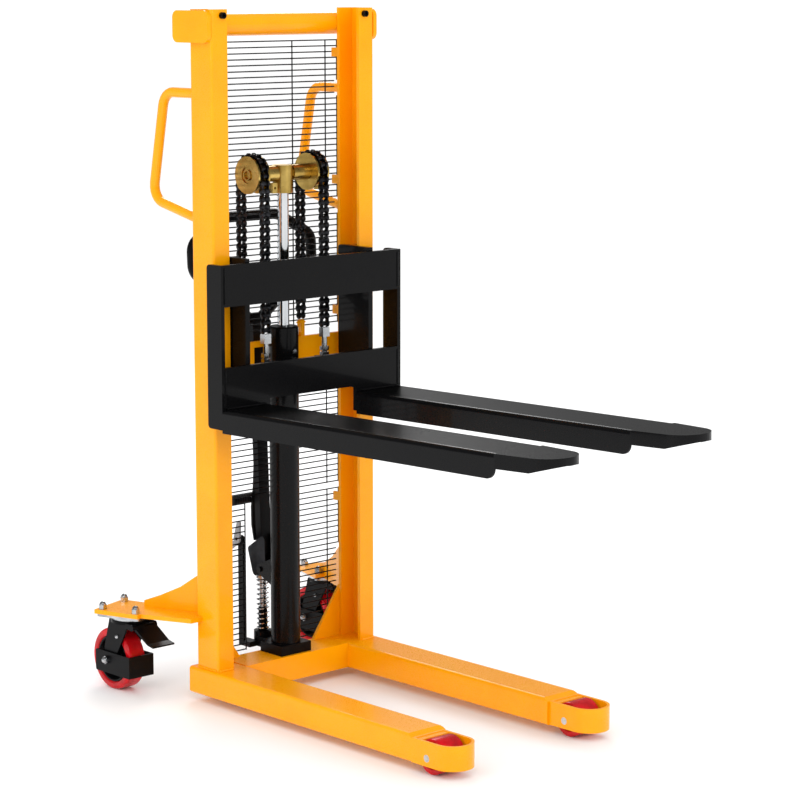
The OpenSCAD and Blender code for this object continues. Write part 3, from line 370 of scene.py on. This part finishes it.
def cad_copy(node, name, finish, body):
    """A merged copy of a CAD node's mesh that stands for the node."""
    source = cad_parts[node]
    bm = bmesh.new()
    bm.from_mesh(source.data)
    bmesh.ops.remove_doubles(bm, verts=bm.verts, dist=1e-6)
    piece = new_piece(name, bm, finish, body)
    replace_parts(piece, node)
    return piece


def body_finishes():
    """Which finish each CAD node keeps."""
    plan = {
        "frame_paint": [
            "mast_left", "mast_right", "top_cross_tube", "leg_left", "leg_right", "leg_tip_left",
            "leg_tip_right", "base_cross_member", "mast_gussets", "outrigger_left",
            "outrigger_right", "grab_handle_left", "grab_handle_right", "mid_cross_member",
            "mesh_tabs"],
        "black_gloss": [
            "carriage_upper_plate", "carriage_lower_plate", "carriage_side_left",
            "carriage_side_right", "carriage_post_left", "carriage_post_right", "fork_left",
            "fork_right", "lift_cylinder", "cylinder_gland"],
        "black_paint": [
            "stop_bolts", "pump_block", "caster_fork_left", "caster_fork_right",
            "brake_pedal_left", "brake_pedal_right", "pump_handle", "foot_pedal"],
        "steel": [
            "zinc_fasteners", "roller_axles", "caster_plate_left", "caster_plate_right",
            "chain_bolts", "pump_plunger", "guide_roller_upper_left",
            "guide_roller_upper_right", "guide_roller_lower_left", "guide_roller_lower_right"],
        "zinc": ["chain_head", "chain_shaft", "chain_wheel_left", "chain_wheel_right"],
        "chrome": ["piston_rod"],
        "iron": ["pump_yoke"],
        "grey_paint": ["release_pedal"],
        "chain": ["chain_wraps"],
    }
    return [(node, finish) for finish, nodes in plan.items() for node in nodes]


class STACKER_OT_finishes(bpy.types.Operator):
    """Makes the finishes and gives one to each CAD node"""
    bl_idname = "stacker.finishes"
    bl_label = "Finishes"

    def execute(self, context):
        make_finishes(context.scene.stacker_colours)
        for node, finish in body_finishes():
            finish_node(node, finish)
        return {"FINISHED"}


def wire_sheet(bm, sizes, uprights, z_range, x, notches=()):
    """Welded wire net: level wires at an even pitch on a few uprights, short at its notches."""
    radius = sizes.wire / 2
    z0, z1 = z_range[0] + radius, z_range[1] - radius
    rows = round((z1 - z0) / sizes.wire_pitch)
    edge = max(abs(y) for y in uprights)
    for y in uprights:
        stops = [z0 - radius]
        if abs(y) == edge:
            for low, high in notches:
                if low > z0 and high < z1:
                    stops += [low, high]
        stops.append(z1 + radius)
        for low, high in zip(stops[::2], stops[1::2]):
            tube_between(bm, (x + radius / 3, y, low), (x + radius / 3, y, high), radius, 8)
    for j in range(rows + 1):
        z = z0 + (z1 - z0) * j / rows
        reach = NOTCH_Y if any(low < z < high for low, high in notches) else edge + radius
        ends = max(min(uprights) - radius, -reach), min(max(uprights) + radius, reach)
        tube_between(bm, (x - radius / 3, ends[0], z), (x - radius / 3, ends[1], z), radius, 8)


class STACKER_OT_guards(bpy.types.Operator):
    """Wire guards behind the mast, with round wires, notched round the grab handles and gussets"""
    bl_idname = "stacker.guards"
    bl_label = "Wire guards"

    def execute(self, context):
        sizes = context.scene.stacker_sizes
        grab_high = MAST_HIGH.z - GRAB_HIGH_DROP
        grab_low = MAST_HIGH.z - GRAB_LOW_DROP
        gusset_low, gusset_high = corners("outrigger_left")
        notches = [(low - below, high + above) for low, high, (below, above) in (
            (gusset_low.z, gusset_high.z, GUSSET_NOTCH), (grab_low, grab_low, GRAB_LOW_NOTCH),
            (grab_high, grab_high, GRAB_HIGH_NOTCH))]
        low, high = corners("mesh_guard_upper")
        x = (low.x + high.x) / 2
        half = [*UPRIGHTS, high.y - sizes.wire / 2]
        full = [-half[2], -half[1]] + half
        bm = bmesh.new()
        wire_sheet(bm, sizes, full, (low.z, high.z), x, notches)
        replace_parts(new_piece("upper_wire_guard", bm, "black_paint", "chassis"), "mesh_guard_upper")
        low, high = corners("mesh_guard_lower")
        bm = bmesh.new()
        wire_sheet(bm, sizes, full, (GUARD_SPLIT_Z, high.z), x, notches)
        for side in SIDES.values():
            wire_sheet(bm, sizes, [side * y for y in half],
                       (low.z, GUARD_SPLIT_Z - sizes.wire_pitch), x, notches)
        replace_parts(new_piece("lower_wire_guard", bm, "black_paint", "chassis"), "mesh_guard_lower")
        return {"FINISHED"}


class STACKER_OT_chains(bpy.types.Operator):
    """Free runs of the lift chains and the pump's spring, which span two bodies; the copies stay
    fixed in place and ride on neither
    """
    bl_idname = "stacker.chains"
    bl_label = "Chain runs and spring"

    def execute(self, context):
        for node, name, bodies, finish in (
                ("rear_chain_strands", "rear_chain_runs", ("chassis", "ram"), "chain"),
                ("front_chain_strands", "front_chain_runs", ("carriage", "ram"), "chain"),
                ("pump_spring", "plunger_spring", ("chassis", "plunger"), "steel")):
            piece = cad_copy(node, name, finish, None)
            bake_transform(piece)
        return {"FINISHED"}


def mirrored(side):
    """A closed (radius, y) profile from its near half, which the far half repeats."""
    return side + [(r, -y) for r, y in reversed(side)]


def wheel_profile(radius, bore, half, shoulder):
    """Outline of a tyre: a flat tread with soft shoulders, down to its bore."""
    return round_corners(mirrored([(bore, -half), (radius, -half)]), shoulder, 5)


def wheel_hub_profile(radius):
    """Outline of a cast hub: a boss, a thin web and a rim that carries the tyre."""
    rim = radius - RIM_DEPTH
    return round_corners(mirrored([
        (HUB_BORE_R, -HUB_HALF), (BOSS_R, -HUB_HALF), (BOSS_FOOT_R, -BOSS_FOOT_HALF),
        (rim - 2 * RIM_WALL, -WEB_HALF), (rim - RIM_WALL, -RIM_HALF), (rim, -RIM_HALF)]), 0.0015, 3)


def load_hub_profile():
    """Outline of a load roller's nylon hub: a drum with a boss at each end."""
    return round_corners(mirrored([
        (HUB_BORE_R, -LOAD_BOSS_HALF), (LOAD_BOSS_R, -LOAD_BOSS_HALF),
        (LOAD_BOSS_R, -LOAD_HUB_HALF), (LOAD_HUB_R, -LOAD_HUB_HALF)]), 0.001, 3)


class STACKER_OT_wheels(bpy.types.Operator):
    """Tyres, hubs and load rollers"""
    bl_idname = "stacker.wheels"
    bl_label = "Wheels and rollers"

    def execute(self, context):
        for side in SIDES:
            low, high = corners("caster_wheel_" + side)
            centre = (low + high) / 2
            radius = (high.z - low.z) / 2
            bm = bmesh.new()
            lathe(bm, centre, wheel_profile(radius, radius - TYRE_WALL, TYRE_HALF, TYRE_SHOULDER))
            tyre = new_piece("tyre_" + side, bm, "roller", "wheel_" + side)
            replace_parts(tyre, "caster_wheel_" + side)
            bm = bmesh.new()
            lathe(bm, centre, wheel_hub_profile(radius))
            new_piece("wheel_hub_" + side, bm, "black_gloss", "wheel_" + side)
            low, high = corners("load_roller_" + side)
            centre = (low + high) / 2
            radius = (high.z - low.z) / 2
            bm = bmesh.new()
            lathe(bm, centre,
                  wheel_profile(radius, LOAD_TREAD_BORE_R, LOAD_TREAD_HALF, LOAD_SHOULDER))
            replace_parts(new_piece("load_tread_" + side, bm, "roller", "load_roller_" + side),
                        "load_roller_" + side)
            bm = bmesh.new()
            lathe(bm, centre, load_hub_profile())
            new_piece("load_hub_" + side, bm, "hub", "load_roller_" + side)
        return {"FINISHED"}


def loose_parts(node):
    """Lowest and highest corner of each separate part of a CAD node's mesh."""
    bm = bmesh.new()
    bm.from_mesh(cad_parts[node].data)
    bmesh.ops.remove_doubles(bm, verts=bm.verts, dist=1e-6)
    left = set(bm.verts)
    parts = []
    while left:
        queue = [left.pop()]
        part = []
        while queue:
            vert = queue.pop()
            part.append(vert.co.copy())
            for edge in vert.link_edges:
                other = edge.other_vert(vert)
                if other in left:
                    left.remove(other)
                    queue.append(other)
        parts.append([Vector(pick(c[i] for c in part) for i in range(3)) for pick in (min, max)])
    bm.free()
    return parts


def dome_nut(bm, place, radius, height):
    """Adds a hexagonal nut with a domed cap; place sets its seat, with Z outwards."""
    bmesh.ops.create_cone(bm, cap_ends=True, segments=6, radius1=radius, radius2=radius,
                          depth=height, matrix=place @ Matrix.Translation((0, 0, height / 2)))
    bmesh.ops.create_uvsphere(bm, u_segments=24, v_segments=12, radius=radius * DOME_SHARE,
                              matrix=place @ Matrix.Translation((0, 0, height)))


class STACKER_OT_bolts(bpy.types.Operator):
    """Zinc dome nuts on the outriggers, axle nuts and pedal rivets of the casters"""
    bl_idname = "stacker.bolts"
    bl_label = "Dome nuts"

    def execute(self, context):
        plate_top = corners("outrigger_left")[0].z + PLATE_T
        bm = bmesh.new()
        for low, high in loose_parts("zinc_fasteners"):
            if abs(low.z - plate_top) < SEAT_TOLERANCE:
                seat = Vector(((low.x + high.x) / 2, (low.y + high.y) / 2, low.z))
                dome_nut(bm, Matrix.Translation(seat), DOME_NUT_R, DOME_NUT_H)
        new_piece("outrigger_dome_nuts", bm, "steel", "chassis")
        for side in SIDES:
            fork_low, fork_high = corners("caster_fork_" + side)
            wheel_low, wheel_high = corners("caster_wheel_" + side)
            centre = (wheel_low + wheel_high) / 2
            bm = bmesh.new()
            for face, out in ((fork_low.y, -1), (fork_high.y, 1)):
                turn = Matrix.Rotation(-out * math.pi / 2, 4, "X")
                seat = Vector((centre.x, face - out * CAD_NUT_H, centre.z))
                dome_nut(bm, Matrix.Translation(seat) @ turn, AXLE_NUT_R, AXLE_NUT_H)
                rivet = Vector((centre.x + RIVET_FROM_AXLE[0], face - out * (CAD_NUT_H + RIVET_R),
                                centre.z + RIVET_FROM_AXLE[1]))
                bmesh.ops.create_uvsphere(bm, u_segments=16, v_segments=8, radius=RIVET_R,
                                          matrix=Matrix.Translation(rivet))
            new_piece("axle_nuts_" + side, bm, "steel", "caster_" + side)
        return {"FINISHED"}


class STACKER_OT_pedal_rubber(bpy.types.Operator):
    """Ribbed rubber sleeve on the foot pedal's bar"""
    bl_idname = "stacker.pedal_rubber"
    bl_label = "Pedal rubber"

    def execute(self, context):
        pitch = context.scene.stacker_sizes.tread_rib
        half = corners("foot_pedal")[1].y - SLEEVE_EDGE
        centre = tread_centre()
        profile = [(SLEEVE_BORE_R, -half)]
        ribs = int(2 * half / pitch)
        for i in range(ribs):
            y = -half + i * pitch
            profile += [(SLEEVE_R, y + SLEEVE_EDGE), (SLEEVE_R, y + pitch * 0.6),
                        (SLEEVE_R - GROOVE, y + pitch * 0.7), (SLEEVE_R - GROOVE, y + pitch * 0.9)]
        profile += [(SLEEVE_R, half), (SLEEVE_BORE_R, half)]
        bm = bmesh.new()
        lathe(bm, centre, profile, 32)
        new_piece("pedal_rubber", bm, "rubber", "handle")
        return {"FINISHED"}


def tread_centre():
    """Centre of the foot pedal's bar, from its rearmost skin."""
    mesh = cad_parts["foot_pedal"].data
    rear = min(v.co.x for v in mesh.vertices)
    skin = [v.co for v in mesh.vertices if v.co.x < rear + 0.002]
    return Vector((rear + TREAD_BAR_R, 0, sum(v.z for v in skin) / len(skin)))


def bead(bm, start, end, radius, wave=0.0016):
    """Adds a weld bead: a run of short overlapping lens-shaped ripples from start to end."""
    start, end = Vector(start), Vector(end)
    run = end - start
    count = max(2, round(run.length / RIPPLE))
    turn = run.to_track_quat("Z", "Y").to_matrix().to_4x4()
    rings = []
    for i in range(count * 2 + 1):
        r = radius if i % 2 else radius - wave / 2
        if i in (0, count * 2):
            r = radius * 0.35
        place = Matrix.Translation(start + run * i / (count * 2)) @ turn
        ring = bmesh.ops.create_circle(bm, cap_ends=i in (0, count * 2), segments=8, radius=r,
                                       matrix=place)
        rings.append(ring["verts"])
    for a, b in zip(rings, rings[1:]):
        bmesh.ops.bridge_loops(bm, edges=ring_edges(a) + ring_edges(b))


def ring_edges(verts):
    """Edges that join the vertices of one ring."""
    inside = set(verts)
    return [edge for vert in verts for edge in vert.link_edges
            if edge.other_vert(vert) in inside and edge.verts[0] is vert]


class STACKER_OT_welds(bpy.types.Operator):
    """Weld beads where the carriage plates and fork roots meet their seats, and round the masts' feet
    on the legs
    """
    bl_idname = "stacker.welds"
    bl_label = "Weld beads"

    def execute(self, context):
        r = context.scene.stacker_sizes.weld / 2
        bm = bmesh.new()
        for side in SIDES.values():
            for node in ("carriage_upper_plate", "carriage_lower_plate"):
                low, high = corners(node)
                seam_y = corners("carriage_side_left")[0].y
                x = high.x - r * 0.2
                bottom = low.z if node == "carriage_upper_plate" else high.z - LOWER_SEAM_DROP
                bead(bm, (x, side * seam_y, bottom + PLATE_BEAD_STOP),
                     (x, side * seam_y, high.z - PLATE_BEAD_STOP), r)
            fork_low, fork_high = corners("fork_left")
            root_x = fork_low.x + r * 0.4
            seam_z = ROOT_Z + r * 0.3
            bead(bm, (root_x, side * (fork_low.y + FORK_BEAD_STOP), seam_z),
                 (root_x, side * (fork_high.y - FORK_BEAD_STOP), seam_z), r)
        new_piece("carriage_welds", bm, "black_gloss", "carriage")
        bm = bmesh.new()
        foot_z = corners("leg_left")[1].z + r * 0.3
        for side in SIDES.values():
            for x in (MAST_FRONT + r * 0.3, MAST_LOW.x - r * 0.3):
                bead(bm, (x, side * (MAST_LOW.y + FOOT_BEAD_STOP), foot_z),
                     (x, side * (MAST_HIGH.y - FOOT_BEAD_STOP), foot_z), r)
            outer_y = side * (MAST_HIGH.y + r * 0.3)
            bead(bm, (MAST_FRONT - PLATE_BEAD_STOP, outer_y, foot_z),
                 (MAST_LOW.x + PLATE_BEAD_STOP, outer_y, foot_z), r)
        new_piece("base_welds", bm, "frame_paint", "chassis")
        return {"FINISHED"}


def studio_world():
    """White surround for camera and diffuse rays, dim in reflections, as black flags make it."""
    world = bpy.data.worlds.new("studio")
    world.use_nodes = True
    tree = world.node_tree
    rays = tree.nodes.new("ShaderNodeLightPath")
    dim = tree.nodes.new("ShaderNodeMapRange")
    dim.inputs["To Min"].default_value = 1.12
    dim.inputs["To Max"].default_value = 0.22
    tree.links.new(rays.outputs["Is Glossy Ray"], dim.inputs["Value"])
    background = tree.nodes["Background"]
    background.inputs["Color"].default_value = (1, 1, 1, 1)
    tree.links.new(dim.outputs["Result"], background.inputs["Strength"])
    return world


class STACKER_OT_stage(bpy.types.Operator):
    """Pale floor, soft studio light and the photograph's viewpoint"""
    bl_idname = "stacker.stage"
    bl_label = "Stage"

    def execute(self, context):
        scene = context.scene
        bm = bmesh.new()
        bmesh.ops.create_grid(bm, x_segments=2, y_segments=2, size=FLOOR_HALF)
        mesh = bpy.data.meshes.new("floor")
        bm.to_mesh(mesh)
        bm.free()
        floor = bpy.data.objects.new("floor", mesh)
        scene.collection.objects.link(floor)
        material = blank_material("pale_floor")
        shader = node_in(material, "ShaderNodeBsdfPrincipled",
                         {"Base Color": linear("#FAFAFA"), "Roughness": 0.9,
                          "Specular IOR Level": 0.1})
        mesh.materials.append(shade(material, shader))
        scene.world = studio_world()
        scene.view_settings.view_transform = "Standard"
        scene.view_settings.look = "None"
        target = Vector(LIGHT_TARGET)
        for name, place, size, power in (
                ("key_light", (3.5, -3.0, 4.5), 2.0, 46.0),
                ("front_light", (5.0, 1.5, 2.5), 2.0, 26.0),
                ("side_light", (0.5, -5.0, 2.0), 1.6, 30.0),
                ("rear_light", (-4.0, 3.0, 3.5), 2.0, 60.0)):
            light = bpy.data.lights.new(name, "AREA")
            light.shape = "DISK"
            light.size = size
            light.energy = power
            lamp = bpy.data.objects.new(name, light)
            lamp.location = place
            lamp.rotation_euler = (target - Vector(place)).to_track_quat("-Z", "Y").to_euler()
            scene.collection.objects.link(lamp)
        camera = bpy.data.cameras.new("photo_view")
        camera.lens = CAMERA_LENS
        camera.sensor_width = 36.0
        camera.clip_end = 120.0
        viewer = bpy.data.objects.new("photo_view", camera)
        viewer.location = Vector(CAMERA_FROM_MAST) + Vector((MAST_FRONT, 0, 0))
        azimuth, pitch = math.radians(CAMERA_AZIMUTH), math.radians(CAMERA_PITCH)
        viewer.rotation_euler = (math.pi / 2 - pitch, 0, azimuth)
        scene.collection.objects.link(viewer)
        scene.camera = viewer
        return {"FINISHED"}


class STACKER_PT_panel(bpy.types.Panel):
    """Lists the sizes, the colours and the steps"""
    bl_label = "Pallet stacker"
    bl_idname = "STACKER_PT_panel"
    bl_space_type = "VIEW_3D"
    bl_region_type = "UI"
    bl_category = "Stacker"

    def draw(self, context):
        layout = self.layout
        for group in (context.scene.stacker_sizes, context.scene.stacker_colours):
            for name in group.bl_rna.properties.keys():
                if name not in ("rna_type", "name"):
                    layout.prop(group, name)
        for step in STEPS:
            layout.operator(step.bl_idname)


STEPS = (STACKER_OT_finishes, STACKER_OT_guards, STACKER_OT_chains, STACKER_OT_wheels,
         STACKER_OT_bolts, STACKER_OT_pedal_rubber, STACKER_OT_welds, STACKER_OT_stage)
CLASSES = (StackerSizes, StackerColours) + STEPS + (STACKER_PT_panel,)


def register():
    for item in CLASSES:
        bpy.utils.register_class(item)
    bpy.types.Scene.stacker_sizes = bpy.props.PointerProperty(type=StackerSizes)
    bpy.types.Scene.stacker_colours = bpy.props.PointerProperty(type=StackerColours)


def unregister():
    del bpy.types.Scene.stacker_colours
    del bpy.types.Scene.stacker_sizes
    for item in reversed(CLASSES):
        bpy.utils.unregister_class(item)


def main():
    """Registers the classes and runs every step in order."""
    register()
    for step in STEPS:
        group, name = step.bl_idname.split(".")
        getattr(getattr(bpy.ops, group), name)()


if __name__ == "__main__":
    main()
